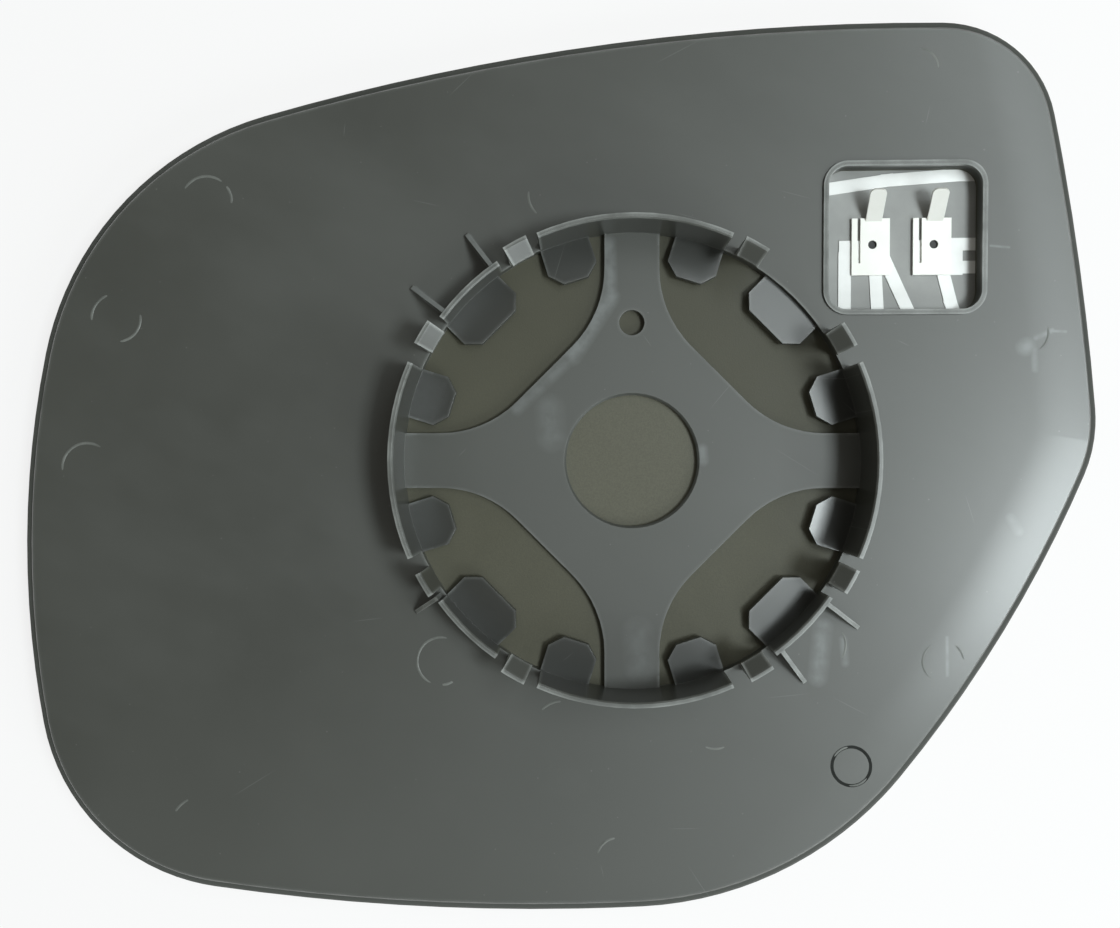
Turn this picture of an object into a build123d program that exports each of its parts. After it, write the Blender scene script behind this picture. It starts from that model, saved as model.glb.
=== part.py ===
"""Heated door mirror glass with its moulded backing plate, lying on the convex face.

Millimetres, +Z up. The origin is on the axis of the snap ring, on the back face of the plate.
X runs to the right and Y upwards as the back is looked at. The glass is bent to a sphere whose
centre lies above the plate, so every layer is a shell about that one centre.
"""
import os
from math import atan2, cos, degrees, hypot, radians, sin, sqrt

from build123d import *

# outline of the rim: the corner points of five bowed sides, the bow of the side that
# follows each corner, and the radius the corner is rounded to
RIGHT_X = 80.2
SPAN_X = 174.8                       # from the right corner to the lower left corner
LOW_Y = -75.0
SPAN_Y = 149.6                       # from the lower right corner to the upper right corner
UPPER_LEFT_STEP = 3.2                # sideways steps of the upper corners from those extremes
UPPER_RIGHT_STEP = 11.3
LOWER_LEFT_STEP = 6.0                # step of the lower left corner above the lower right one
LEFT_X = RIGHT_X - SPAN_X
UPPER_LEFT = (LEFT_X + UPPER_LEFT_STEP, 50.2)
UPPER_RIGHT = (RIGHT_X - UPPER_RIGHT_STEP, LOW_Y + SPAN_Y)
RIGHT = (RIGHT_X, 3.1)
LOWER_RIGHT = (27.3, LOW_Y)
LOWER_LEFT = (LEFT_X, LOW_Y + LOWER_LEFT_STEP)
TOP_BOW, UPPER_LEFT_RADIUS = 8.75, 54.0
RIGHT_BOW, UPPER_RIGHT_RADIUS = 1.64, 20.0
DIAGONAL_BOW, RIGHT_RADIUS = 5.38, 24.6
BOTTOM_BOW, LOWER_RIGHT_RADIUS = 5.28, 62.0
LEFT_BOW, LOWER_LEFT_RADIUS = 11.3, 35.6

# layers, from the back face of the plate down to the mirror face
PLATE_THICKNESS = 2.2
PAD_THICKNESS = 0.6
TRACK_THICKNESS = 0.15
FILM_THICKNESS = 0.3
GLASS_THICKNESS = 2.0
BOND = 0.05                          # thickness of the glue between two layers
FACE_RADIUS = 1400.0                 # bend of the mirror face
CURVE_AXIS = (-12.2, -0.7)           # the sphere's centre stands over this point

# rim that holds the edge of the glass
RIM_WALL = 1.1
GLASS_GAP = 0.15                     # between the rim and the edge of the glass
GLASS_PROUD = 0.25                   # mirror face below the lip of the rim
GLASS_BEVEL = 0.3
SHOULDER_WIDTH = 1.2
SHOULDER_DROP = 0.8
SHOULDER_BEVEL = 0.45
FACE_BEVEL = 0.3
PAD_MARGIN = 3.0                     # from the edge of the glass
FILM_MARGIN = 4.0

# snap ring: four tall walls over the arms, and between them a group of two hooks and a low wall
RING_RADIUS = 39.8                   # inside
RING_WALL = 1.3                      # at its foot
RING_WALL_TOP = 0.9
RING_HEIGHT = 11.0
RING_BEVEL = 0.25                    # along the inside of a wall's top
ARM_ANGLES = (0, 90, 180, 270)
TALL_WALL_HALF = 23.5                # degrees each side of an arm
GROUP_ANGLES = (45.5, 134.0, 225.5, 315.7)
HOOK_OFFSET = 15.0                   # degrees from the middle of a group
HOOK_HALF = 3.0
HOOK_REACH = 1.8                     # of the nose, inwards
HOOK_LEAD_IN = 2.0                   # height of the slope above the nose
HOOK_NOSE = 0.6
HOOK_CATCH = 0.7                     # height of the slope under the nose
HOOK_TOP = 0.6
LOW_WALL_HEIGHT = 6.5
LOW_WALL_HALF = 9.5
RIB_OFFSET = 7.8                     # degrees from the middle of a group
RIB_THICKNESS = 0.75
RIB_LENGTH = 7.4
RIB_TOE = 0.7                        # height of a rib at its outer end
SHORT_RIB_LENGTH = 4.6
SHORT_RIB_OFFSET = 10.5

# spider and the spring tongues in its four windows
SPIDER_THICKNESS = 1.3
HUB_BEVEL = 0.35                     # round the hole in the hub
ARM_WIDTH = 9.6
HUB_FLAT = 21.5                      # from the axis to the window's inner edge
HUB_BLEND = 19.0
HUB_HOLE = 23.0
LOCATING_HOLE = 4.4
LOCATING_HOLE_Y = 24.1
TONGUE_ANGLES = (45, 135, 225, 315)
TONGUE_LENGTH = 7.0
TONGUE_THICKNESS = 0.9
TONGUE_ROOT = 0.8                    # length set into the ring's foot
TONGUE_CLEARANCE = 0.1               # over the pad
TONGUE_RISE = 8.0                    # degrees, towards the axis
TONGUE_CORNER = 2.2
MIDDLE_TONGUE_WIDTH = 12.6
SIDE_TONGUE_WIDTH = 8.8
SIDE_TONGUE_OFFSET = 27.7            # degrees from the middle tongue

# window over the heater terminals
WINDOW_X, WINDOW_Y = 46.9, 38.4
WINDOW_WIDTH, WINDOW_HEIGHT = 26.1, 24.6
WINDOW_RADIUS = 3.3
LIP_WIDTH = 0.9
LIP_HEIGHT = 0.5

# heater terminals, on the film inside that window
TERMINAL_PITCH = 10.6
TERMINAL_RAISE = -1.0                # from the middle of the window
TERMINAL_SHIFT = 0.2
TERMINAL_LENGTH, TERMINAL_WIDTH = 9.9, 6.6
TERMINAL_SHEET = 0.4
TERMINAL_HOLE = 1.5
TERMINAL_HOLE_AT = (0.3, 0.35)       # from the middle of the base
SLIT_WIDTH, SLIT_LENGTH, SLIT_SIDE = 0.5, 7.8, 1.0
BLADE_WIDTH = 2.8
BLADE_LENGTH = 6.4
BLADE_SIDE = 0.5                     # from the middle of the base
BLADE_LEAN = 42.0                    # degrees up from the base
BLADE_TIP_RADIUS = 0.9

# heater tracks: lands under the terminals, legs from them, and rows over the whole glass
TRACK_WIDTH = 2.2
TRACK_MARGIN = 7.0                   # from the edge of the film
LAND_HEIGHT = 6.1
LAND_MARGIN = 2.1                    # land beside a terminal
LEFT_LEGS = [(-4.4, -4.4), (0.8, 1.6), (2.4, 8.6)]      # from the left terminal, at the land and feed row
RIGHT_LEG = [(1.9, -3.9), (3.5, -10.1), (7.0, -19.4)]   # from the right terminal
STUBS = (-3.6, 0.4)                  # from the terminals' middle, towards the bus
BAND = [(-15.0, 8.8), (-2.2, 10.6), (10.2, 11.4)]       # over the terminals, from the middle of the window
FEED_ROW_DROP = 4.1                  # below the window
BUS_GAP = 2.9                        # right of the window
UPPER_ROW_GAP = 5.5                  # left of the window
UPPER_ROWS = 2
LOWER_ROWS, LOWER_PITCH = 5, 16.0
RETURN_GAP = 4.4                     # between the ends of the rows and the track that leads back

PAD_TOP = PLATE_THICKNESS + BOND
TRACK_TOP = PAD_TOP + PAD_THICKNESS + BOND
FILM_TOP = TRACK_TOP + TRACK_THICKNESS + BOND
GLASS_TOP = FILM_TOP + FILM_THICKNESS + BOND
STACK = GLASS_TOP + GLASS_THICKNESS
BACK_RADIUS = FACE_RADIUS - STACK
CENTRE_HEIGHT = sqrt(BACK_RADIUS ** 2 - CURVE_AXIS[0] ** 2 - CURVE_AXIS[1] ** 2)
GLASS_INSET = RIM_WALL + GLASS_GAP
LEFT_TERMINAL_X = WINDOW_X + TERMINAL_SHIFT - TERMINAL_PITCH / 2
RIGHT_TERMINAL_X = WINDOW_X + TERMINAL_SHIFT + TERMINAL_PITCH / 2
TERMINAL_Y = WINDOW_Y + TERMINAL_RAISE
DEEP = 4 * (STACK + RING_HEIGHT)     # past every face of the part
SAME_DEPTH = 0.02                    # an edge this near to a depth lies at it


def outline(inset=0.0):
    """Face of the rim's outline in plan, drawn in by the inset."""
    corners = [UPPER_LEFT, UPPER_RIGHT, RIGHT, LOWER_RIGHT, LOWER_LEFT]
    bows = [TOP_BOW, RIGHT_BOW, DIAGONAL_BOW, BOTTOM_BOW, LEFT_BOW]
    radii = [UPPER_LEFT_RADIUS, UPPER_RIGHT_RADIUS, RIGHT_RADIUS, LOWER_RIGHT_RADIUS, LOWER_LEFT_RADIUS]
    sides = []
    for index, bow in enumerate(bows):
        following = corners[(index + 1) % len(corners)]
        sides.append(SagittaArc(corners[index], following, bow))
    face = make_face(sides)
    for corner, radius in zip(corners, radii):
        nearest = face.vertices().sort_by_distance(corner)[0]
        face = fillet(nearest, radius)
    if inset:
        face = offset(face, amount=-inset)
    # every side and corner is drawn afresh as an arc that lies exactly in the plan
    arcs = []
    for edge in face.edges():
        start, middle, end = [(point.X, point.Y) for point in (edge @ 0, edge @ 0.5, edge @ 1)]
        arcs.append(ThreePointArc(start, middle, end))
    return make_face(arcs)


def ball(depth):
    """Everything inside the sphere that lies this far below the back face."""
    return Pos(*CURVE_AXIS, CENTRE_HEIGHT) * Rot(90, 0, 0) * Sphere(BACK_RADIUS + depth)


def through(plan):
    """Plan drawn right through the part."""
    return extrude(Pos(0, 0, -DEEP) * plan, 2 * DEEP)


def layer(plan, top, bottom):
    """Bent sheet of the given plan between two depths below the back face."""
    return through(plan) & (ball(bottom) - ball(top))


def seat(x, y, depth):
    """Plane that lies on a bent layer at a point, its normal towards the sphere's centre."""
    away_x = x - CURVE_AXIS[0]
    away_y = y - CURVE_AXIS[1]
    drop = sqrt((BACK_RADIUS + depth) ** 2 - away_x ** 2 - away_y ** 2)
    return Plane(origin=(x, y, CENTRE_HEIGHT - drop), x_dir=(drop, 0, away_x), z_dir=(-away_x, -away_y, drop))


def edges_at(solid, depth):
    """Edges of a solid that lie at one depth below the back face."""
    centre = Vector(*CURVE_AXIS, CENTRE_HEIGHT)
    radius = BACK_RADIUS + depth
    return [edge for edge in solid.edges() if abs((edge @ 0.5 - centre).length - radius) < SAME_DEPTH]


def polar(radius, angle):
    """Point at a radius and angle about the ring's axis."""
    return radius * cos(radians(angle)), radius * sin(radians(angle))


def swept(profile, middle, half):
    """Profile of radius and height points turned about the ring's axis."""
    face = make_face(Polyline(*[(r, 0, z) for r, z in profile], close=True))
    return Rot(0, 0, middle - half) * revolve(face, Axis.Z, 2 * half)


def shell_and_rim():
    """Plate with its stepped shoulder and the rim round the glass."""
    flange = layer(outline(), SHOULDER_DROP, STACK - GLASS_PROUD)
    flange = chamfer(edges_at(flange, SHOULDER_DROP), SHOULDER_BEVEL)
    plate = layer(outline(SHOULDER_WIDTH), 0, PLATE_THICKNESS)
    plate = chamfer(edges_at(plate, 0), FACE_BEVEL)
    body = flange + plate
    body -= layer(outline(RIM_WALL), PLATE_THICKNESS, DEEP)
    return body


def leaf_window(middle):
    """Plan of one leaf-shaped window between two arms, open outwards."""
    side = ARM_WIDTH / 2
    foot = HUB_FLAT * sqrt(2) - side
    far = 2 * RING_RADIUS
    leaf = make_face(Polyline((side, foot), (side, far), (far, far), (far, side), (foot, side), close=True))
    corners = leaf.vertices().sort_by_distance((0, 0))[0:2]
    return Rot(0, 0, middle - 45) * fillet(corners, HUB_BLEND)


def spider():
    """Hub and four arms that carry the ring's foot, with a bevelled hole in the hub."""
    plan = Circle(RING_RADIUS + RING_WALL / 2)
    plan -= [leaf_window(middle) for middle in TONGUE_ANGLES]
    plan -= Circle(HUB_HOLE / 2)
    plan -= Pos(0, LOCATING_HOLE_Y) * Circle(LOCATING_HOLE / 2)
    top = PLATE_THICKNESS - SPIDER_THICKNESS
    body = layer(plan, top, PLATE_THICKNESS)
    closed = [edge for edge in edges_at(body, top) if edge.is_closed]
    return chamfer(max(closed, key=lambda edge: edge.length), HUB_BEVEL)


def tongue(angle, width):
    """Spring tongue that leaves the ring's foot and rises towards the axis."""
    rise = radians(TONGUE_RISE)
    sunk = TONGUE_CLEARANCE + TONGUE_THICKNESS + TONGUE_ROOT * sin(rise)
    root = seat(*polar(RING_RADIUS, angle), PLATE_THICKNESS - sunk).origin
    inwards = polar(1, angle + 180)
    along = (inwards[0] * cos(rise), inwards[1] * cos(rise), sin(rise))
    upright = (-inwards[0] * sin(rise), -inwards[1] * sin(rise), cos(rise))
    tip = TONGUE_LENGTH / cos(rise)
    half = width / 2
    plan = make_face(Polyline(
        (-TONGUE_ROOT, half), (tip - TONGUE_CORNER, half), (tip, half - TONGUE_CORNER),
        (tip, TONGUE_CORNER - half), (tip - TONGUE_CORNER, -half), (-TONGUE_ROOT, -half), close=True))
    return Plane(origin=root, x_dir=along, z_dir=upright) * extrude(plan, -TONGUE_THICKNESS)


def wall(angle, half, height):
    """Piece of the ring's wall, drafted on its outer side and bevelled along the inside of its top."""
    foot = RING_RADIUS + RING_WALL
    outer = RING_RADIUS + RING_WALL_TOP
    profile = [
        (RING_RADIUS, -DEEP), (foot, -DEEP), (foot, 0), (outer, height),
        (RING_RADIUS + RING_BEVEL, height), (RING_RADIUS, height - RING_BEVEL),
    ]
    return swept(profile, angle, half)


def hook(angle):
    """Snap hook on its post: the nose reaches inwards, with a lead-in slope above it."""
    outer = RING_RADIUS + RING_WALL
    reach = RING_RADIUS - HOOK_REACH
    nose_top = RING_HEIGHT - HOOK_LEAD_IN
    nose_foot = nose_top - HOOK_NOSE
    profile = [
        (RING_RADIUS, -DEEP), (outer, -DEEP), (outer, RING_HEIGHT), (outer - HOOK_TOP, RING_HEIGHT),
        (reach, nose_top), (reach, nose_foot), (RING_RADIUS, nose_foot - HOOK_CATCH),
    ]
    return swept(profile, angle, HOOK_HALF)


def rib(angle, length):
    """Upright rib outside the low wall, falling towards its outer end."""
    start = RING_RADIUS + RING_WALL / 2
    end = RING_RADIUS + RING_WALL + length
    toe = seat(*polar(end, angle), 0).origin.Z + RIB_TOE
    corners = [(start, 0, -DEEP), (end, 0, -DEEP), (end, 0, toe), (start, 0, LOW_WALL_HEIGHT)]
    face = make_face(Polyline(*corners, close=True))
    return Rot(0, 0, angle) * extrude(face, RIB_THICKNESS / 2, both=True, dir=(0, 1, 0))


def snap_ring():
    """Walls, hooks and ribs, planted in the middle of the plate's thickness."""
    pieces = [wall(angle, TALL_WALL_HALF, RING_HEIGHT) for angle in ARM_ANGLES]
    upper_right, upper_left, lower_left, lower_right = GROUP_ANGLES
    # the first post of the lower left group has lost its nose
    for group in GROUP_ANGLES:
        if group == lower_left:
            pieces.append(wall(group - HOOK_OFFSET, HOOK_HALF, RING_HEIGHT))
        else:
            pieces.append(hook(group - HOOK_OFFSET))
        pieces.append(hook(group + HOOK_OFFSET))
    # the upper right group stays without a low wall, beside the terminal window
    for group in (upper_left, lower_left, lower_right):
        pieces.append(wall(group, LOW_WALL_HALF, LOW_WALL_HEIGHT))
    for group in (upper_left, lower_right):
        pieces.append(rib(group - RIB_OFFSET, RIB_LENGTH))
        pieces.append(rib(group + RIB_OFFSET, RIB_LENGTH))
    pieces.append(rib(lower_left - SHORT_RIB_OFFSET, SHORT_RIB_LENGTH))
    return (Part() + pieces) & ball(PLATE_THICKNESS / 2)


def tongues():
    """Three spring tongues in every leaf window."""
    pieces = []
    for middle in TONGUE_ANGLES:
        pieces.append(tongue(middle, MIDDLE_TONGUE_WIDTH))
        pieces.append(tongue(middle - SIDE_TONGUE_OFFSET, SIDE_TONGUE_WIDTH))
        pieces.append(tongue(middle + SIDE_TONGUE_OFFSET, SIDE_TONGUE_WIDTH))
    return pieces


def window_plan(margin=0.0):
    """Plan of the terminal window, grown by the margin."""
    rounded = RectangleRounded(WINDOW_WIDTH + 2 * margin, WINDOW_HEIGHT + 2 * margin, WINDOW_RADIUS + margin)
    return Pos(WINDOW_X, WINDOW_Y) * rounded


def backing_plate():
    """One moulding: plate, rim, terminal window, spider, tongues and snap ring."""
    body = shell_and_rim() - through(Circle(RING_RADIUS))
    body += layer(window_plan(LIP_WIDTH), -LIP_HEIGHT, PLATE_THICKNESS / 2)
    body -= through(window_plan())
    body += spider()
    body += tongues()
    body += snap_ring()
    return body


def mirror_glass():
    """Bent glass with a ground bevel round the mirror face."""
    glass = layer(outline(GLASS_INSET), GLASS_TOP, STACK)
    return chamfer(edges_at(glass, STACK), GLASS_BEVEL)


def heater_film():
    """Carrier film glued to the back of the glass."""
    return layer(outline(GLASS_INSET + FILM_MARGIN), FILM_TOP, FILM_TOP + FILM_THICKNESS)


def adhesive_pad():
    """Foam pad that glues the heated glass into the plate, open at the terminals."""
    plan = outline(GLASS_INSET + PAD_MARGIN) - window_plan()
    return layer(plan, PAD_TOP, PAD_TOP + PAD_THICKNESS)


def track(points):
    """Plan of a strip of track along a line of points, square at every end."""
    plan = Sketch()
    for start, end in zip(points, points[1:]):
        across = end[0] - start[0]
        up = end[1] - start[1]
        middle = Pos((start[0] + end[0]) / 2, (start[1] + end[1]) / 2)
        turn = Rot(0, 0, degrees(atan2(up, across)))
        plan += middle * turn * Rectangle(hypot(across, up) + TRACK_WIDTH, TRACK_WIDTH)
    return plan


def row_ends(room, y):
    """First and last x of a row of track across the room left for it."""
    whole = room.bounding_box()
    row = Pos(whole.center().X, y) * Rectangle(whole.size.X, TRACK_WIDTH)
    box = (room & row).bounding_box()
    return box.min.X + TRACK_WIDTH / 2, box.max.X - TRACK_WIDTH / 2


def winding(start, rows, limits):
    """Points of a track that winds from row to row, turning first at the left."""
    points = [start]
    for index, y in enumerate(rows):
        before = points[-1][1]
        if index % 2 == 0:
            turn = max(limits(before)[0], limits(y)[0])
        else:
            turn = min(limits(before)[1], limits(y)[1])
        points += [(turn, before), (turn, y)]
    return points


def track_plan():
    """Heater circuit: two lands, rows that wind over the glass and a track that leads back."""
    room = outline(GLASS_INSET + FILM_MARGIN + TRACK_MARGIN)
    land_y = TERMINAL_Y - (TERMINAL_LENGTH - LAND_HEIGHT) / 2
    land = Rectangle(TERMINAL_WIDTH + LAND_MARGIN, LAND_HEIGHT)
    feed_y = WINDOW_Y - WINDOW_HEIGHT / 2 - FEED_ROW_DROP
    feed = (LEFT_TERMINAL_X + LEFT_LEGS[-1][1], feed_y)
    plan = Pos(LEFT_TERMINAL_X - LAND_MARGIN / 2, land_y) * land
    plan += Pos(RIGHT_TERMINAL_X + LAND_MARGIN / 2, land_y) * land
    for at_land, at_feed in LEFT_LEGS:
        plan += track([(LEFT_TERMINAL_X + at_land, land_y), (LEFT_TERMINAL_X + at_feed, feed_y)])

    # rows below the feed row, then back up beside their right-hand ends to the right land
    rows = [feed_y - LOWER_PITCH * (index + 1) for index in range(LOWER_ROWS)]
    ends = {y: row_ends(room, y) for y in [feed_y] + rows}
    lower = winding(feed, rows, lambda y: (ends[y][0], ends[y][1] - RETURN_GAP))
    back = [(ends[y][1], y) for y in reversed(rows)]
    leg = [(RIGHT_TERMINAL_X + x, TERMINAL_Y + y) for x, y in reversed(RIGHT_LEG)]
    plan += track(lower + back + leg)

    # rows left of the window, then the band over the terminals and the bus beside the right land
    band = [(WINDOW_X + x, WINDOW_Y + y) for x, y in BAND]
    bus_x = WINDOW_X + WINDOW_WIDTH / 2 + BUS_GAP
    row_stop = WINDOW_X - WINDOW_WIDTH / 2 - UPPER_ROW_GAP
    pitch = (band[0][1] - feed_y) / UPPER_ROWS
    rows = [feed_y + pitch * (index + 1) for index in range(UPPER_ROWS)]
    upper = winding(feed, rows, lambda y: (row_ends(room, y)[0], row_stop))
    bus = [(bus_x, band[-1][1]), (bus_x, TERMINAL_Y + min(STUBS))]
    plan += track(upper + band + bus)
    for up in STUBS:
        plan += track([(RIGHT_TERMINAL_X + TERMINAL_WIDTH / 2, TERMINAL_Y + up), (bus_x, TERMINAL_Y + up)])
    return plan


def heater_track():
    """Etched tracks on the film."""
    return layer(track_plan(), TRACK_TOP, TRACK_TOP + TRACK_THICKNESS)


def terminal(x):
    """Stamped terminal: flat base with a slit and a rivet hole, and a blade bent up from its end."""
    base = Rectangle(TERMINAL_WIDTH, TERMINAL_LENGTH)
    slit_x = SLIT_SIDE + SLIT_WIDTH / 2 - TERMINAL_WIDTH / 2
    base -= Pos(slit_x, (TERMINAL_LENGTH - SLIT_LENGTH) / 2) * Rectangle(SLIT_WIDTH, SLIT_LENGTH)
    base -= Pos(*TERMINAL_HOLE_AT) * Circle(TERMINAL_HOLE / 2)
    blade = Pos(0, BLADE_LENGTH / 2) * Rectangle(BLADE_WIDTH, BLADE_LENGTH)
    blade = fillet(blade.vertices().group_by(Axis.Y)[-1], BLADE_TIP_RADIUS)
    bend = Pos(BLADE_SIDE, TERMINAL_LENGTH / 2 - TERMINAL_SHEET, 0) * Rot(BLADE_LEAN, 0, 0)
    body = extrude(base, TERMINAL_SHEET) + bend * extrude(blade, TERMINAL_SHEET)
    # the flat base meets its bent land only at the corners
    lift = (TERMINAL_WIDTH ** 2 + TERMINAL_LENGTH ** 2) / (8 * BACK_RADIUS) + BOND
    return seat(x, TERMINAL_Y, TRACK_TOP - lift) * body


os.makedirs("parts", exist_ok=True)
NODES = {
    "backing_plate": backing_plate(),
    "mirror_glass": mirror_glass(),
    "heater_film": heater_film(),
    "heater_track": heater_track(),
    "adhesive_pad": adhesive_pad(),
    "terminal_left": terminal(LEFT_TERMINAL_X),
    "terminal_right": terminal(RIGHT_TERMINAL_X),
}
for name, solid in NODES.items():
    export_step(solid, f"parts/{name}.step")
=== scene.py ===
"""Looks of the heated door mirror glass: finishes, pin marks, floor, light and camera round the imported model.

Metres, in the frame of the solids: the origin is on the axis of the snap ring, on the back face of the plate.
"""
from math import cos, pi, radians, sin, tan

import bmesh
import bpy
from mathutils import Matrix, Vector
from mathutils.bvhtree import BVHTree


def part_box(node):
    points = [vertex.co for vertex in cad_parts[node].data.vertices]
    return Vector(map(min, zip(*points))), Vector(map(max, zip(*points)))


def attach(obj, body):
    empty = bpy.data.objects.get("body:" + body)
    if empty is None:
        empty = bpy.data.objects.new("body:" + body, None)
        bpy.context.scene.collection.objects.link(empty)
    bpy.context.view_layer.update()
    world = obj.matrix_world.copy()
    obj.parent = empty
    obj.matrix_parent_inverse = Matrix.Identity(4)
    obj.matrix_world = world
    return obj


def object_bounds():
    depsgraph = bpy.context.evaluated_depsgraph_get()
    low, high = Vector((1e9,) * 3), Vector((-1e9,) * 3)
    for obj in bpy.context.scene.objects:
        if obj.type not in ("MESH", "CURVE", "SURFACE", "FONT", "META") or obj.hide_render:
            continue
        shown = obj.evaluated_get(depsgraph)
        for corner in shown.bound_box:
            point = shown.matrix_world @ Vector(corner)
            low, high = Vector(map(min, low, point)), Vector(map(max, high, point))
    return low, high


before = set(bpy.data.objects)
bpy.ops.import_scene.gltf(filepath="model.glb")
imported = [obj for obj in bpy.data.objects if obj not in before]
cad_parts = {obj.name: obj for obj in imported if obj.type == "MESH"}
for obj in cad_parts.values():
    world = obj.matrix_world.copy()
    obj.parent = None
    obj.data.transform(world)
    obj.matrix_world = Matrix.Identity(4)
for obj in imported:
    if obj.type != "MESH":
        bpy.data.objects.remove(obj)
cad_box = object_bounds()

MM = 0.001
FLOOR_Z = cad_box[0][2]

# marks of the ejector pins on the back of the plate: x, y and radius in millimetres, how far the raised edge
# stands out, and the arcs in degrees over which it shows
PIN_MARKS = [
    (-73.3, 44.7, 4.2, 1.0, [(45, 158), (-8, 40)]),
    (-88.8, 24.5, 4.1, 1.2, [(106, 190), (-86, 14)]),
    (-93.8, -1.1, 4.1, 1.2, [(48, 196)]),
    (-33.2, -34.8, 4.1, 1.0, [(62, 258), (272, 302)]),
    (53.5, -34.7, 3.5, 0.5, [(112, 248), (0, 60)]),
    (-12.5, -45.9, 4.1, 0.9, [(84, 144)]),
    (14.3, -45.8, 4.1, 0.5, [(238, 302)]),
    (-74.7, -62.0, 4.1, 1.0, [(110, 156)]),
    (-13.9, 46.0, 4.1, 0.6, [(162, 238)]),
    (32.8, -31.9, 4.1, 0.5, [(-45, 45)]),
    (-2.7, -68.6, 3.4, 0.9, [(90, 172)]),
    (48.9, 67.1, 3.4, 0.4, [(-20, 110)]),
    (67.9, 21.9, 3.4, 0.5, [(-70, 30)]),
]
# sections of the raised edge and of the painted shadow strip in the groove, outwards and upwards
RIDGE = [(-0.27, -0.02), (-0.12, 0.06), (0.0, 0.08), (0.12, 0.06), (0.27, -0.02)]
DEEP_MARK = (37.7, -52.7, 3.3, 0.6, [(85, 165), (-115, -20)])
GROOVE_SHADOW = [(-0.27, 0.012), (0.27, 0.012)]
ARC_STEP = 5.0

# places where the plate is painted pale, rubs and painted highlights: a line from point to point, its half
# width in millimetres, how pale
# rubbed pale marks
RUBS_AND_HIGHLIGHTS = [
    ((54.2, -30.5), (54.2, -37.0), 0.4, 0.4), ((33.0, -29.0), (32.1, -37.4), 2.0, 0.4),
    ((36.5, -31.0), (36.8, -35.0), 0.9, 0.3), ((67.4, 19.5), (67.7, 19.6), 1.8, 0.5),
    ((69.2, 21.0), (71.9, 22.3), 0.6, 0.45), ((71.9, 22.2), (74.2, 22.1), 0.35, 0.4),
    ((69.0, 19.0), (69.1, 15.6), 0.7, 0.35), ((65.0, -9.8), (66.4, -12.2), 1.0, 0.25),
    ((61.5, 36.9), (64.6, 36.6), 0.3, 0.4),
    # painted highlights along the edge of the upper arm, the hub round its hole, and the lower arm
    ((-4.0, 38.0), (-3.7, 28.5), 1.5, 0.35), ((-3.7, 28.5), (-10.4, 18.2), 1.9, 0.42),
    ((-10.4, 18.2), (-20.0, 9.0), 1.4, 0.24), ((-14.3, 9.0), (-14.0, 4.0), 3.0, 0.2),
    ((12.3, 2.0), (12.4, 0.0), 1.2, 0.35), ((1.0, -30.0), (1.5, -36.0), 3.2, 0.18),
    # painted highlights on the tops of the two upper left ribs
    ((-24.2, 33.1), (-28.3, 38.7), 0.7, 0.8), ((-32.2, 25.4), (-37.7, 29.7), 0.7, 0.8),
]

# bend of the plate's back, and the step of the rim below it
BEND_CENTRE, BEND_RADIUS = (-12.2 * MM, -0.7 * MM, 1394.496 * MM), 1394.55 * MM
STEP_DEPTH, INSIDE = 0.45 * MM, 62.0 * MM

# places on the plate: inside of the walls and of the hooks, and the room that the tongues lie in
RING_INSIDE, NOSE_INSIDE = 39.75 * MM, 37.8 * MM
TONGUE_INSIDE, BESIDE_ARMS, TONGUE_TOP = 31.0 * MM, 5.5 * MM, 1.5 * MM
STANDING = 0.1 * MM, 0.3 * MM        # heights between which an edge begins to stand out
PAINTED_LIGHT_LOW = -70 * MM, -32 * MM       # painted light: palest at the first height, plain from the second
PALER_HUB = 26 * MM, 38 * MM         # paler on the hub: palest at the first distance from the axis, plain from the second

# the pad darkens upwards between these, and is paler in the hub
PAD_DARKENS, PAD_HUB = (-25 * MM, 25 * MM), (11 * MM, 16 * MM)

# edges: how far in they are painted pale, as wear and as painted highlight, and how far the moulded and the cut
# ones are rounded
EDGE_WIDTH, MOULDED_EDGE, CUT_EDGE = 0.6 * MM, 0.12 * MM, 0.06 * MM
EDGE_SAMPLES = 4

# circles that the two right-hand sides of the outline follow, in millimetres
SIDE_ARCS = [((-115.2, 78.5), 209.4), ((-319.2, -23.3), 400.2)]
FALL_WIDTH, FALL = 11.0, 0.42        # the plate's back falls away over this width inside them

# rivet hole of a terminal, whose shade is painted on the land below: from the middle of its box and from its
# lower end
RIVET_SIDE, RIVET_UP, RIVET_RADIUS = 0.3 * MM, 5.3 * MM, 0.75 * MM

# camera straight above the back, as close as the photograph was taken
IMAGE_WIDTH = 1120
CAMERA_X, CAMERA_Y = -9.4 * MM, -0.6 * MM
CAMERA_HEIGHT = 190 * MM
FRAME_WIDTH = 194.9 * MM             # width of the picture on the plane of the origin
NADIR_RIGHT_OF_MIDDLE = 18           # pixels
SENSOR = 36.0

# daylight: a window high on the right, a long soft one round it, and a broad one low towards the lower right
WINDOW_HEIGHT, WINDOW_RIGHT, WINDOW_DOWN = 0.72, 27.0, 7.0
WINDOW_SIZE, WINDOW_WATTS = 0.17, 2.7
LONG_WINDOW_SIZE, LONG_WINDOW_LENGTH, LONG_WINDOW_WATTS, LONG_WINDOW_UP = 0.16, 0.7, 2.0, 11.0
LOW_WINDOW = (0.61, -0.64, 0.47)
LOW_WINDOW_SIZE, LOW_WINDOW_WATTS = 0.55, 4.6
DAYLIGHT = (0.9, 0.985, 1.0)
ROOM = (0.21, 0.208, 0.19)
FLOOR_HALF = 3.0
FLOOR_SHADE = 0.25, 0.7              # shade shows out to the first, and all is white from the second


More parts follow.
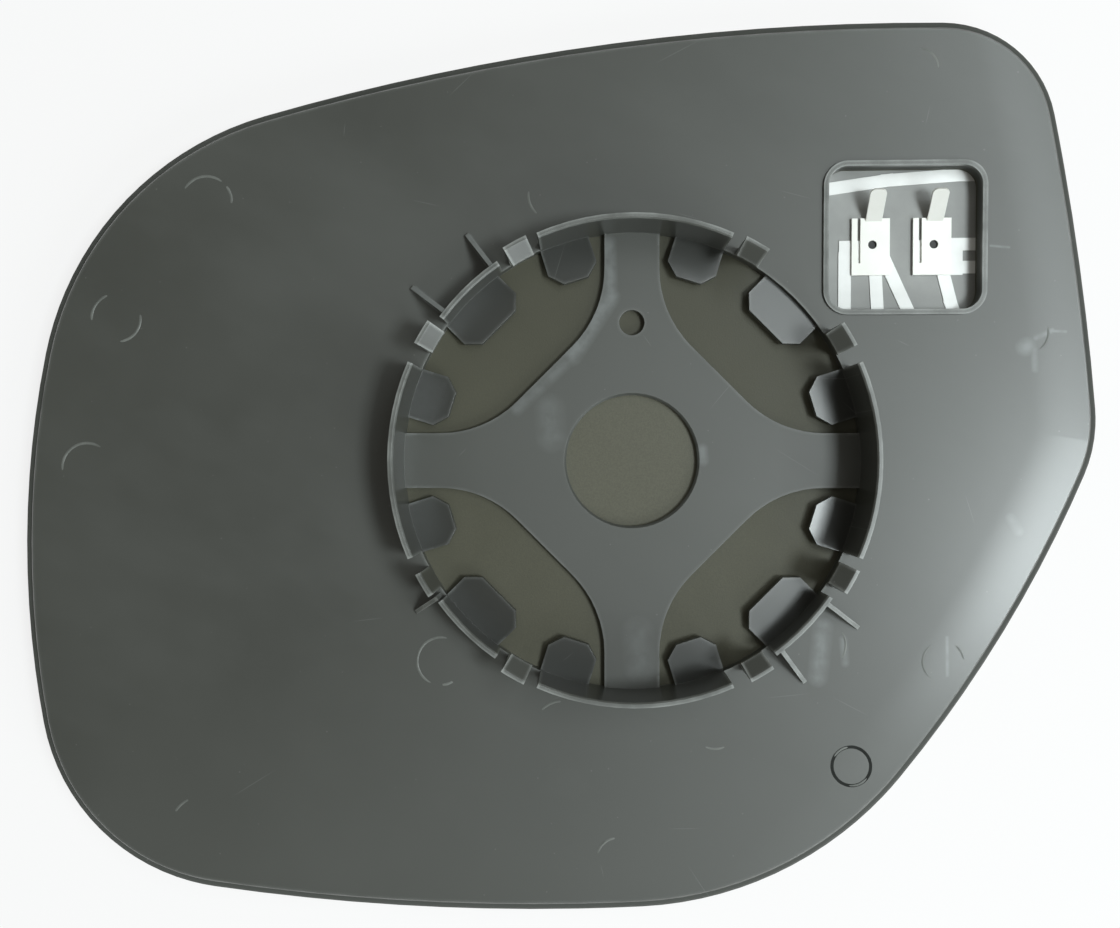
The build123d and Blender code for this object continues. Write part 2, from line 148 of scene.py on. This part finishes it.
class Nodes:
    """Short way to place and join the nodes of one tree."""

    def __init__(self, tree):
        self.tree = tree
        tree.nodes.clear()

    def add(self, kind, inputs=None, **settings):
        """Place a node, set its own settings, and fill its sockets from values or other sockets."""
        node = self.tree.nodes.new(kind)
        for name, value in settings.items():
            setattr(node, name, value)
        for name, value in (inputs or {}).items():
            self.feed(node.inputs[name], value)
        return node

    def feed(self, socket, value):
        """Join an output to a socket, or set the socket to a constant."""
        if isinstance(value, bpy.types.NodeSocket):
            self.tree.links.new(value, socket)
        else:
            socket.default_value = value

    def math(self, operation, first, second=0.0, clamp=False):
        """One sum of two values."""
        node = self.add("ShaderNodeMath", operation=operation, use_clamp=clamp)
        self.feed(node.inputs[0], first)
        self.feed(node.inputs[1], second)
        return node.outputs[0]

    def mix(self, amount, first, second, blend="MIX"):
        """Mix of two colours."""
        node = self.add("ShaderNodeMix", data_type="RGBA", blend_type=blend)
        self.feed(node.inputs[0], amount)
        self.feed(node.inputs[6], first)
        self.feed(node.inputs[7], second)
        return node.outputs[2]

    def span(self, value, low, high, to_low=0.0, to_high=1.0):
        """Value carried from one span to another, held at its ends."""
        node = self.add("ShaderNodeMapRange", {"Value": value, "From Min": low, "From Max": high,
                                               "To Min": to_low, "To Max": to_high})
        return node.outputs["Result"]

    def length(self, way):
        """Length of a vector."""
        return self.add("ShaderNodeVectorMath", {0: way}, operation="LENGTH").outputs["Value"]

    def distance(self, place, other):
        """Distance between two places."""
        return self.add("ShaderNodeVectorMath", {0: place, 1: other}, operation="DISTANCE").outputs["Value"]

    def axes(self, vector):
        """The three parts of a vector."""
        return self.add("ShaderNodeSeparateXYZ", {"Vector": vector}).outputs

    def noise(self, place, scale, detail=3.0, roughness=0.5, stretch=None):
        """Noise over the surface, drawn out along an axis where a stretch is given."""
        if stretch:
            place = self.add("ShaderNodeMapping", {"Vector": place, "Scale": stretch}).outputs[0]
        node = self.add("ShaderNodeTexNoise", {"Vector": place, "Scale": scale, "Detail": detail,
                                               "Roughness": roughness})
        return node.outputs["Fac"]


def new_group(name, inputs, outputs):
    """Empty shader node group with named sockets, its nodes, and its two ends."""
    tree = bpy.data.node_groups.new(name, "ShaderNodeTree")
    for socket, kind, value in inputs:
        made = tree.interface.new_socket(socket, in_out="INPUT", socket_type=kind)
        made.default_value = value
    for socket, kind in outputs:
        tree.interface.new_socket(socket, in_out="OUTPUT", socket_type=kind)
    nodes = Nodes(tree)
    start = nodes.add("NodeGroupInput")
    end = nodes.add("NodeGroupOutput")
    return tree, nodes, start.outputs, end.inputs


def place_group(nodes, tree, **values):
    """Group placed in a material, with its values."""
    node = nodes.add("ShaderNodeGroup", node_tree=tree)
    for name, value in values.items():
        nodes.feed(node.inputs[name.replace("_", " ")], value)
    return node.outputs


def moulded_grain():
    """Fine skin of a moulding: a grain for the bump, and broad patches where it is more worn."""
    tree, nodes, given, out = new_group(
        "moulded grain",
        [("Grain Scale", "NodeSocketFloat", 2600.0), ("Patch Scale", "NodeSocketFloat", 32.0)],
        [("Grain", "NodeSocketFloat"), ("Patch", "NodeSocketFloat")])
    place = nodes.add("ShaderNodeTexCoord").outputs["Object"]
    fine = nodes.noise(place, given["Grain Scale"], 2.0, 0.6)
    patch = nodes.noise(place, given["Patch Scale"], 5.0, 0.6)
    nodes.feed(out["Grain"], fine)
    nodes.feed(out["Patch"], nodes.span(patch, 0.3, 0.72))
    return tree


def scattered(nodes, place, scale):
    """Cells strewn over the plan: the way from a cell's middle, and three random values of the cell."""
    cell = nodes.add("ShaderNodeTexVoronoi", {"Vector": place, "Scale": scale}, voronoi_dimensions="2D")
    way = nodes.add("ShaderNodeVectorMath", {0: place, 1: cell.outputs["Position"]}, operation="SUBTRACT")
    flat = nodes.add("ShaderNodeVectorMath", {0: way.outputs[0], 1: (1, 1, 0)}, operation="MULTIPLY")
    chance = nodes.add("ShaderNodeSeparateColor", {"Color": cell.outputs["Color"]}).outputs
    return flat.outputs[0], chance


def handling_marks():
    """Wiped haze, single hairline scratches and specks of dust."""
    tree, nodes, given, out = new_group(
        "handling marks",
        [("Haze Scale", "NodeSocketFloat", 22.0), ("Scratch Scale", "NodeSocketFloat", 60.0),
         ("Dust Scale", "NodeSocketFloat", 160.0)],
        [("Haze", "NodeSocketFloat"), ("Scratch", "NodeSocketFloat"), ("Dust", "NodeSocketFloat")])
    place = nodes.add("ShaderNodeTexCoord").outputs["Object"]
    turned = nodes.add("ShaderNodeMapping", {"Vector": place, "Rotation": (0, 0, radians(24))}).outputs[0]
    haze = nodes.noise(turned, given["Haze Scale"], 4.0, 0.55, (1.0, 2.0, 1.0))
    nodes.feed(out["Haze"], nodes.span(haze, 0.42, 0.75))

    way, chance = scattered(nodes, place, given["Scratch Scale"])
    turn = nodes.math("MULTIPLY", chance["Red"], 2 * pi)
    laid = nodes.add("ShaderNodeVectorRotate", {"Vector": way, "Angle": turn}, rotation_type="Z_AXIS")
    axes = nodes.axes(laid.outputs[0])
    reach = nodes.span(chance["Green"], 0.0, 1.0, 0.8 * MM, 5.0 * MM)
    along = nodes.math("DIVIDE", nodes.math("ABSOLUTE", axes["X"]), reach)
    line = nodes.span(nodes.math("ABSOLUTE", axes["Y"]), 0.02 * MM, 0.09 * MM, 1.0, 0.0)
    line = nodes.math("MULTIPLY", line, nodes.span(along, 0.3, 1.0, 1.0, 0.0))
    kept = nodes.math("GREATER_THAN", chance["Blue"], 0.55)
    nodes.feed(out["Scratch"], nodes.math("MULTIPLY", line, kept))

    way, chance = scattered(nodes, place, given["Dust Scale"])
    size = nodes.span(chance["Green"], 0.0, 1.0, 0.05 * MM, 0.17 * MM)
    far = nodes.length(way)
    speck = nodes.span(nodes.math("DIVIDE", far, size), 0.5, 1.0, 1.0, 0.0)
    kept = nodes.math("GREATER_THAN", chance["Blue"], 0.6)
    nodes.feed(out["Dust"], nodes.math("MULTIPLY", speck, kept))
    return tree


GRAIN = moulded_grain()
MARKS = handling_marks()


def material(name):
    """Empty material, its nodes and its surface shader."""
    made = bpy.data.materials.new(name)
    made.use_nodes = True
    nodes = Nodes(made.node_tree)
    shader = nodes.add("ShaderNodeBsdfPrincipled")
    end = nodes.add("ShaderNodeOutputMaterial", {"Surface": shader.outputs[0]})
    end.target = "ALL"
    return made, nodes, shader.inputs


def outward_edges(nodes, place, width):
    """Mask of the outward edges and thin tops, broken up a little."""
    thick = nodes.add("ShaderNodeAmbientOcclusion", {"Distance": width}, samples=EDGE_SAMPLES, inside=True,
                      only_local=True)
    edge = nodes.span(thick.outputs["AO"], 0.5, 0.95, 1.0, 0.0)
    return nodes.math("MULTIPLY", edge, nodes.span(nodes.noise(place, 190.0, 3.0), 0.35, 0.6, 0.35, 1.0))


def plan_place(nodes):
    """Place on the surface, seen in plan."""
    place = nodes.add("ShaderNodeTexCoord").outputs["Object"]
    return nodes.add("ShaderNodeVectorMath", {0: place, 1: (1, 1, 0)}, operation="MULTIPLY").outputs[0]


def rubs_and_painted_highlights(nodes, place):
    """Mask of the places where the plate is painted pale: rubs, and painted highlights."""
    mask = 0.0
    for start, end, half, strength in RUBS_AND_HIGHLIGHTS:
        first = Vector((*start, 0)) * MM
        run = Vector((*end, 0)) * MM - first
        way = nodes.add("ShaderNodeVectorMath", {0: place, 1: first}, operation="SUBTRACT").outputs[0]
        along = run / run.length_squared
        share = nodes.add("ShaderNodeVectorMath", {0: way, 1: along}, operation="DOT_PRODUCT")
        share = nodes.math("ADD", share.outputs["Value"], 0.0, clamp=True)
        near = nodes.add("ShaderNodeVectorMath", {0: run, "Scale": share}, operation="SCALE").outputs[0]
        away = nodes.distance(way, near)
        mask = nodes.math("MAXIMUM", mask, nodes.span(away, 0.2 * half * MM, half * MM, strength, 0.0))
    broken = nodes.span(nodes.noise(place, 420.0, 3.0), 0.3, 0.62, 0.4, 1.0)
    return nodes.math("MULTIPLY", mask, broken)


def fall_at_sides(nodes, place):
    """Height of the plate's back, which falls away towards its right-hand sides."""
    out = -1.0
    for centre, radius in SIDE_ARCS:
        middle = Vector((*centre, 0)) * MM
        far = nodes.distance(place, middle)
        out = nodes.math("MAXIMUM", out, nodes.math("SUBTRACT", far, radius * MM))
    near = nodes.span(out, -FALL_WIDTH * MM, 0.0)
    return nodes.math("MULTIPLY", nodes.math("MULTIPLY", near, near), -1.0)


def above_back(nodes):
    """Height of a place above the plate's bent back."""
    place = nodes.add("ShaderNodeTexCoord").outputs["Object"]
    return nodes.math("SUBTRACT", BEND_RADIUS, nodes.distance(place, BEND_CENTRE))


def rim_below_step(nodes, axis, height):
    """Mask of the rim, which lies a step below the plate's back."""
    return nodes.math("MULTIPLY", nodes.math("LESS_THAN", height, -STEP_DEPTH),
                      nodes.math("GREATER_THAN", axis, INSIDE))


def worn_and_highlit_edges(nodes, place, axis, height, shine):
    """Mask of the edges painted pale, partly as wear and partly as painted highlight: strongest on what stands
    up outside, weak inside the ring.
    """
    standing = nodes.span(height, *STANDING, 0.1, 0.85)
    outside = nodes.math("MAXIMUM", nodes.math("MULTIPLY", shine, 0.4), standing)
    inside = nodes.span(height, *STANDING, 0.2, 0.03)
    beyond = nodes.math("GREATER_THAN", axis, NOSE_INSIDE)
    wear = nodes.add("ShaderNodeMix", {0: beyond, 2: inside, 3: outside}).outputs[0]
    return nodes.math("MULTIPLY", wear, outward_edges(nodes, place, EDGE_WIDTH))


def spring_tongues(nodes, place, axis, height):
    """Mask of the tongues, low down inside the ring and beside the arms."""
    across, up, _ = nodes.axes(place)
    beside = nodes.math("MINIMUM", nodes.math("ABSOLUTE", across), nodes.math("ABSOLUTE", up))
    tongue = nodes.math("MULTIPLY", nodes.math("GREATER_THAN", beside, BESIDE_ARMS),
                        nodes.math("GREATER_THAN", axis, TONGUE_INSIDE))
    inside = nodes.math("MULTIPLY", nodes.math("LESS_THAN", axis, RING_INSIDE),
                        nodes.math("LESS_THAN", height, TONGUE_TOP))
    return nodes.math("MULTIPLY", tongue, inside)


def haze_and_painted_light(nodes, place, axis, haze):
    """Haze of handling, with painted light making the lower side paler, and paler on the hub."""
    low = nodes.span(nodes.axes(place)["Y"], *PAINTED_LIGHT_LOW, 0.5, 0.0)
    hub = nodes.span(axis, *PALER_HUB, 0.4, 0.0)
    return nodes.math("MAXIMUM", nodes.math("MAXIMUM", nodes.math("MULTIPLY", haze, 0.6), low), hub)


def black_plastic():
    """Satin black moulding with a matt rim, hazed and paler below with painted light, tongues darkened with
    painted shade, and pale edges and rubs that are partly wear, partly painted highlight.
    """
    made, nodes, shader = material("black moulded plastic")
    grain = place_group(nodes, GRAIN, Grain_Scale=2400.0, Patch_Scale=24.0)
    marks = place_group(nodes, MARKS, Haze_Scale=17.0, Scratch_Scale=55.0, Dust_Scale=150.0)
    place = plan_place(nodes)
    height = above_back(nodes)
    axis = nodes.length(place)
    rim = rim_below_step(nodes, axis, height)
    shine = nodes.math("SUBTRACT", 1.0, rim)
    edge = worn_and_highlit_edges(nodes, place, axis, height, shine)
    tongue = spring_tongues(nodes, place, axis, height)
    haze = haze_and_painted_light(nodes, place, axis, marks["Haze"])
    colour = nodes.mix(grain["Patch"], (0.018, 0.02, 0.013, 1), (0.032, 0.034, 0.026, 1))
    # haze of handling, with painted light paling the lower side, and the hub paler
    colour = nodes.mix(haze, colour, (0.06, 0.063, 0.055, 1))
    # painted shade: the tongues inside the ring are darkened
    colour = nodes.mix(nodes.math("MULTIPLY", tongue, 0.85), colour, (0.012, 0.013, 0.01, 1))
    # pale edges: partly wear, partly painted highlight on the edges and standing tops
    colour = nodes.mix(edge, colour, (0.37, 0.382, 0.365, 1))
    colour = nodes.mix(nodes.math("MULTIPLY", marks["Scratch"], 0.3), colour, (0.16, 0.165, 0.155, 1))
    colour = nodes.mix(nodes.math("MULTIPLY", marks["Dust"], 0.3), colour, (0.2, 0.2, 0.185, 1))
    # rubbed pale marks, and painted highlights on the arms, the hub and the rib tops
    colour = nodes.mix(rubs_and_painted_highlights(nodes, place), colour, (0.26, 0.28, 0.28, 1))
    nodes.feed(shader["Base Color"], colour)
    rough = nodes.span(grain["Patch"], 0.0, 1.0, 0.54, 0.59)
    rough = nodes.math("ADD", rough, nodes.math("MULTIPLY", marks["Haze"], 0.05))
    rough = nodes.math("SUBTRACT", rough, nodes.math("MULTIPLY", tongue, 0.12))
    nodes.feed(shader["Roughness"], nodes.math("MAXIMUM", rough, nodes.math("MULTIPLY", rim, 0.8)))
    shader["IOR"].default_value = 1.54
    shader["Specular IOR Level"].default_value = 1.0
    coat = nodes.math("MULTIPLY", shine, nodes.span(tongue, 0.0, 1.0, 0.65, 0.45))
    nodes.feed(shader["Coat Weight"], coat)
    shader["Coat Roughness"].default_value = 0.25
    rounded = nodes.add("ShaderNodeBevel", {"Radius": MOULDED_EDGE}, samples=EDGE_SAMPLES).outputs[0]
    fall = nodes.add("ShaderNodeBump", {"Strength": 1.0, "Distance": FALL * MM, "Normal": rounded,
                                        "Height": fall_at_sides(nodes, place)}).outputs[0]
    skin = nodes.math("SUBTRACT", nodes.math("MULTIPLY", grain["Grain"], 0.5), marks["Scratch"])
    bump = nodes.add("ShaderNodeBump", {"Strength": 0.15, "Distance": 0.05 * MM, "Height": skin,
                                        "Normal": fall}).outputs[0]
    nodes.feed(shader["Normal"], bump)
    nodes.feed(shader["Coat Normal"], fall)
    return made


def highlit_raised_edge():
    """Paler plastic painted on the raised edges round the pin marks, as their highlight."""
    made, nodes, shader = material("raised edge")
    grain = place_group(nodes, GRAIN, Grain_Scale=2400.0, Patch_Scale=260.0)
    colour = nodes.mix(grain["Patch"], (0.1, 0.104, 0.094, 1), (0.19, 0.196, 0.182, 1))
    nodes.feed(shader["Base Color"], colour)
    nodes.feed(shader["Roughness"], nodes.span(grain["Patch"], 0.0, 1.0, 0.5, 0.42))
    return made


def painted_groove_shadow():
    """Painted shadow: a dark strip laid flat where the deeper mark's groove is."""
    made, nodes, shader = material("shaded groove")
    grain = place_group(nodes, GRAIN, Grain_Scale=2400.0, Patch_Scale=300.0)
    colour = nodes.mix(grain["Patch"], (0.016, 0.017, 0.015, 1), (0.03, 0.032, 0.03, 1))
    nodes.feed(shader["Base Color"], colour)
    nodes.feed(shader["Roughness"], nodes.span(grain["Grain"], 0.3, 0.7, 0.7, 0.85))
    shader["Specular IOR Level"].default_value = 0.15
    return made


def silvered_glass():
    """Mirror face with a faint blue-grey tint and a ground edge."""
    made, nodes, shader = material("silvered glass")
    marks = place_group(nodes, MARKS, Haze_Scale=14.0, Scratch_Scale=30.0, Dust_Scale=110.0)
    facing = nodes.add("ShaderNodeNewGeometry").outputs["Normal"]
    down = nodes.axes(facing)["Z"]
    edge = nodes.span(nodes.math("ABSOLUTE", down), 0.86, 0.96, 1.0, 0.0)
    colour = nodes.mix(edge, (0.80, 0.83, 0.85, 1), (0.2, 0.26, 0.24, 1))
    colour = nodes.mix(nodes.math("MULTIPLY", marks["Dust"], 0.2), colour, (0.6, 0.6, 0.58, 1))
    nodes.feed(shader["Base Color"], colour)
    rough = nodes.span(edge, 0.0, 1.0, 0.02, 0.3)
    nodes.feed(shader["Roughness"], nodes.math("ADD", rough, nodes.math("MULTIPLY", marks["Haze"], 0.03)))
    shader["Metallic"].default_value = 1.0
    return made


def foam_pad():
    """Brown-grey adhesive foam with a dull skin, paler in the hub and darker towards the top."""
    made, nodes, shader = material("adhesive foam")
    grain = place_group(nodes, GRAIN, Grain_Scale=3400.0, Patch_Scale=60.0)
    place = plan_place(nodes)
    axis = nodes.length(place)
    up = nodes.axes(place)["Y"]
    colour = nodes.mix(grain["Patch"], (0.074, 0.071, 0.044, 1), (0.094, 0.09, 0.06, 1))
    colour = nodes.mix(nodes.span(up, *PAD_DARKENS, 0.0, 0.6), colour, (0.048, 0.046, 0.028, 1))
    colour = nodes.mix(nodes.span(axis, *PAD_HUB, 0.8, 0.0), colour, (0.115, 0.111, 0.08, 1))
    colour = nodes.mix(nodes.span(grain["Grain"], 0.35, 0.65, 0.0, 0.3), colour, (0.05, 0.049, 0.034, 1))
    nodes.feed(shader["Base Color"], colour)
    nodes.feed(shader["Roughness"], nodes.span(grain["Patch"], 0.0, 1.0, 0.5, 0.62))
    bump = nodes.add("ShaderNodeBump", {"Strength": 0.3, "Distance": 0.06 * MM, "Height": grain["Grain"]})
    nodes.feed(shader["Normal"], bump.outputs[0])
    return made


def carrier_film():
    """Grey satin film under the tracks."""
    made, nodes, shader = material("carrier film")
    grain = place_group(nodes, GRAIN, Grain_Scale=1800.0, Patch_Scale=90.0)
    colour = nodes.mix(grain["Patch"], (0.28, 0.283, 0.275, 1), (0.36, 0.363, 0.352, 1))
    nodes.feed(shader["Base Color"], colour)
    nodes.feed(shader["Roughness"], nodes.span(grain["Patch"], 0.0, 1.0, 0.28, 0.4))
    bump = nodes.add("ShaderNodeBump", {"Strength": 0.12, "Distance": 0.05 * MM, "Height": grain["Patch"]})
    nodes.feed(shader["Normal"], bump.outputs[0])
    return made


def rivet_hole_shade(nodes):
    """Mask of the painted shade on the lands, under the rivet holes of the terminals."""
    place = plan_place(nodes)
    spots = []
    for terminal in ("terminal_left", "terminal_right"):
        low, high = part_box(terminal)
        middle = ((low[0] + high[0]) / 2 + RIVET_SIDE, low[1] + RIVET_UP, 0)
        far = nodes.distance(place, middle)
        spots.append(nodes.span(far, RIVET_RADIUS, 1.2 * RIVET_RADIUS, 1.0, 0.0))
    return nodes.math("ADD", spots[0], spots[1])


def pale_metal(name, pale, dull, grain_scale, painted_hole_shade=False):
    """Pale sheet metal with duller patches, and where asked, painted shade under the rivet holes."""
    made, nodes, shader = material(name)
    grain = place_group(nodes, GRAIN, Grain_Scale=grain_scale, Patch_Scale=210.0)
    colour = nodes.mix(grain["Patch"], dull, pale)
    # painted shade of the rivet holes, dark on the land below them
    if painted_hole_shade:
        colour = nodes.mix(rivet_hole_shade(nodes), colour, (0.02, 0.02, 0.019, 1))
    nodes.feed(shader["Base Color"], colour)
    nodes.feed(shader["Roughness"], nodes.span(grain["Patch"], 0.0, 1.0, 0.46, 0.34))
    shader["Metallic"].default_value = 0.2
    rounded = nodes.add("ShaderNodeBevel", {"Radius": CUT_EDGE}, samples=EDGE_SAMPLES).outputs[0]
    bump = nodes.add("ShaderNodeBump", {"Strength": 0.15, "Distance": 0.04 * MM, "Height": grain["Grain"],
                                        "Normal": rounded})
    nodes.feed(shader["Normal"], bump.outputs[0])
    return made


def dress_parts():
    """Give every piece its finish."""
    tin = pale_metal("tinned sheet", (0.9, 0.89, 0.85, 1), (0.83, 0.82, 0.77, 1), 1500.0)
    foil = pale_metal("etched foil", (0.86, 0.86, 0.845, 1), (0.78, 0.78, 0.765, 1), 2200.0, painted_hole_shade=True)
    finishes = {
        "backing_plate": black_plastic(),
        "mirror_glass": silvered_glass(),
        "heater_film": carrier_film(),
        "heater_track": foil,
        "adhesive_pad": foam_pad(),
        "terminal_left": tin,
        "terminal_right": tin,
    }
    for node, finish in finishes.items():
        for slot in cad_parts[node].material_slots:
            slot.material = finish


def lay_strip(shape, plate, mark, section, arc, fades=True):
    """Strip of the given section along an arc of a mark, every point of it dropped on to the plate."""
    x, y, radius, rise = mark[:4]
    above = cad_box[1][2]
    start, end = [radians(angle) for angle in arc]
    steps = round((end - start) / radians(ARC_STEP))
    low = section[0][1]
    lines = []
    for out, up in section:
        line = []
        for step in range(steps + 1):
            share = step / steps
            turn = start + share * (end - start)
            height = low + (up - low) * rise * sin(pi * share) if fades else up
            across = x + (radius + out) * cos(turn)
            along = y + (radius + out) * sin(turn)
            place = Vector((across * MM, along * MM, above))
            spot, normal, _, _ = plate.ray_cast(place, Vector((0, 0, -1)))
            line.append(shape.verts.new(spot + height * MM * normal))
        lines.append(line)
    for inner, outer in zip(lines, lines[1:]):
        for step in range(steps):
            face = shape.faces.new((inner[step], outer[step], outer[step + 1], inner[step + 1]))
            face.smooth = True


def lay_piece(name, shape, finish):
    """Made shape as a piece of the part, in its finish."""
    mesh = bpy.data.meshes.new(name)
    shape.to_mesh(mesh)
    shape.free()
    mesh.materials.append(finish)
    piece = bpy.data.objects.new(name, mesh)
    bpy.context.scene.collection.objects.link(piece)
    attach(piece, "root")


def pin_marks():
    """Raised edges that the ejector pins have left on the plate, and a painted shadow strip for the deeper
    mark's groove.
    """
    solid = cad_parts["backing_plate"].data
    points = [point.co for point in solid.vertices]
    plate = BVHTree.FromPolygons(points, [face.vertices for face in solid.polygons])
    edges = bmesh.new()
    for mark in PIN_MARKS + [DEEP_MARK]:
        for arc in mark[4]:
            lay_strip(edges, plate, mark, RIDGE, arc)
    # the raised edges carry a painted highlight
    lay_piece("pin_marks", edges, highlit_raised_edge())
    # painted shadow: a dark strip laid just over the plate round the deeper mark
    groove = bmesh.new()
    lay_strip(groove, plate, DEEP_MARK, GROOVE_SHADOW, (0, 360), fades=False)
    lay_piece("pin_groove_shadow", groove, painted_groove_shadow())


def floor():
    """Wide pale floor under the part, white to the camera apart from the soft shadow."""
    mesh = bpy.data.meshes.new("floor")
    corners = [(x * FLOOR_HALF, y * FLOOR_HALF, FLOOR_Z) for x, y in ((-1, -1), (1, -1), (1, 1), (-1, 1))]
    mesh.from_pydata(corners, [], [(0, 1, 2, 3)])
    piece = bpy.data.objects.new("floor", mesh)
    bpy.context.scene.collection.objects.link(piece)
    made = bpy.data.materials.new("pale floor")
    made.use_nodes = True
    nodes = Nodes(made.node_tree)
    matt = nodes.add("ShaderNodeBsdfDiffuse", {"Color": (0.86, 0.86, 0.86, 1)})
    white = nodes.add("ShaderNodeEmission", {"Color": (1, 1, 1, 1), "Strength": 1.0})
    seen = nodes.add("ShaderNodeLightPath").outputs
    looks = nodes.math("MAXIMUM", seen["Is Camera Ray"], seen["Is Glossy Ray"])
    looks = nodes.math("MAXIMUM", looks, seen["Is Transmission Ray"])
    place = nodes.add("ShaderNodeTexCoord").outputs["Object"]
    away = nodes.length(place)
    share = nodes.math("MULTIPLY", looks, nodes.span(away, *FLOOR_SHADE, 0.8, 1.0))
    both = nodes.add("ShaderNodeMixShader", {"Fac": share, 1: matt.outputs[0], 2: white.outputs[0]})
    nodes.add("ShaderNodeOutputMaterial", {"Surface": both.outputs[0]})
    piece.data.materials.append(made)


def soft_lamp(name, place, length, width, watts):
    """Soft box at a place, turned towards the origin, its length along the floor."""
    lamp = bpy.data.lights.new(name, "AREA")
    lamp.shape = "RECTANGLE"
    lamp.size = length
    lamp.size_y = width
    lamp.energy = watts
    lamp.color = DAYLIGHT
    piece = bpy.data.objects.new(name, lamp)
    piece.location = place
    piece.rotation_euler = (-Vector(place)).to_track_quat("-Z", "Y").to_euler()
    bpy.context.scene.collection.objects.link(piece)


def light():
    """Daylight from the right in an even room."""
    right = WINDOW_HEIGHT * tan(radians(WINDOW_RIGHT))
    down = WINDOW_HEIGHT * tan(radians(WINDOW_DOWN))
    up = WINDOW_HEIGHT * tan(radians(LONG_WINDOW_UP))
    soft_lamp("window", (right, -down, WINDOW_HEIGHT), WINDOW_SIZE, WINDOW_SIZE, WINDOW_WATTS)
    soft_lamp("long window", (right, up, WINDOW_HEIGHT), LONG_WINDOW_LENGTH, LONG_WINDOW_SIZE,
              LONG_WINDOW_WATTS)
    soft_lamp("low window", LOW_WINDOW, LOW_WINDOW_SIZE, LOW_WINDOW_SIZE, LOW_WINDOW_WATTS)
    world = bpy.data.worlds.new("room")
    world.use_nodes = True
    nodes = Nodes(world.node_tree)
    room = nodes.add("ShaderNodeBackground", {"Color": (*ROOM, 1), "Strength": 1.0})
    white = nodes.add("ShaderNodeBackground", {"Color": (1, 1, 1, 1), "Strength": 1.0})
    seen = nodes.add("ShaderNodeLightPath").outputs["Is Camera Ray"]
    both = nodes.add("ShaderNodeMixShader", {"Fac": seen, 1: room.outputs[0], 2: white.outputs[0]})
    nodes.add("ShaderNodeOutputWorld", {"Surface": both.outputs[0]})
    bpy.context.scene.world = world


def camera():
    """Camera straight above the back."""
    made = bpy.data.cameras.new("camera")
    made.sensor_width = SENSOR
    made.lens = SENSOR * CAMERA_HEIGHT / FRAME_WIDTH
    made.shift_x = -NADIR_RIGHT_OF_MIDDLE / IMAGE_WIDTH
    made.clip_start = 0.01
    piece = bpy.data.objects.new("camera", made)
    piece.location = (CAMERA_X, CAMERA_Y, CAMERA_HEIGHT)
    bpy.context.scene.collection.objects.link(piece)
    bpy.context.scene.camera = piece


dress_parts()
pin_marks()
floor()
light()
camera()
bpy.context.scene.view_settings.view_transform = "Standard"
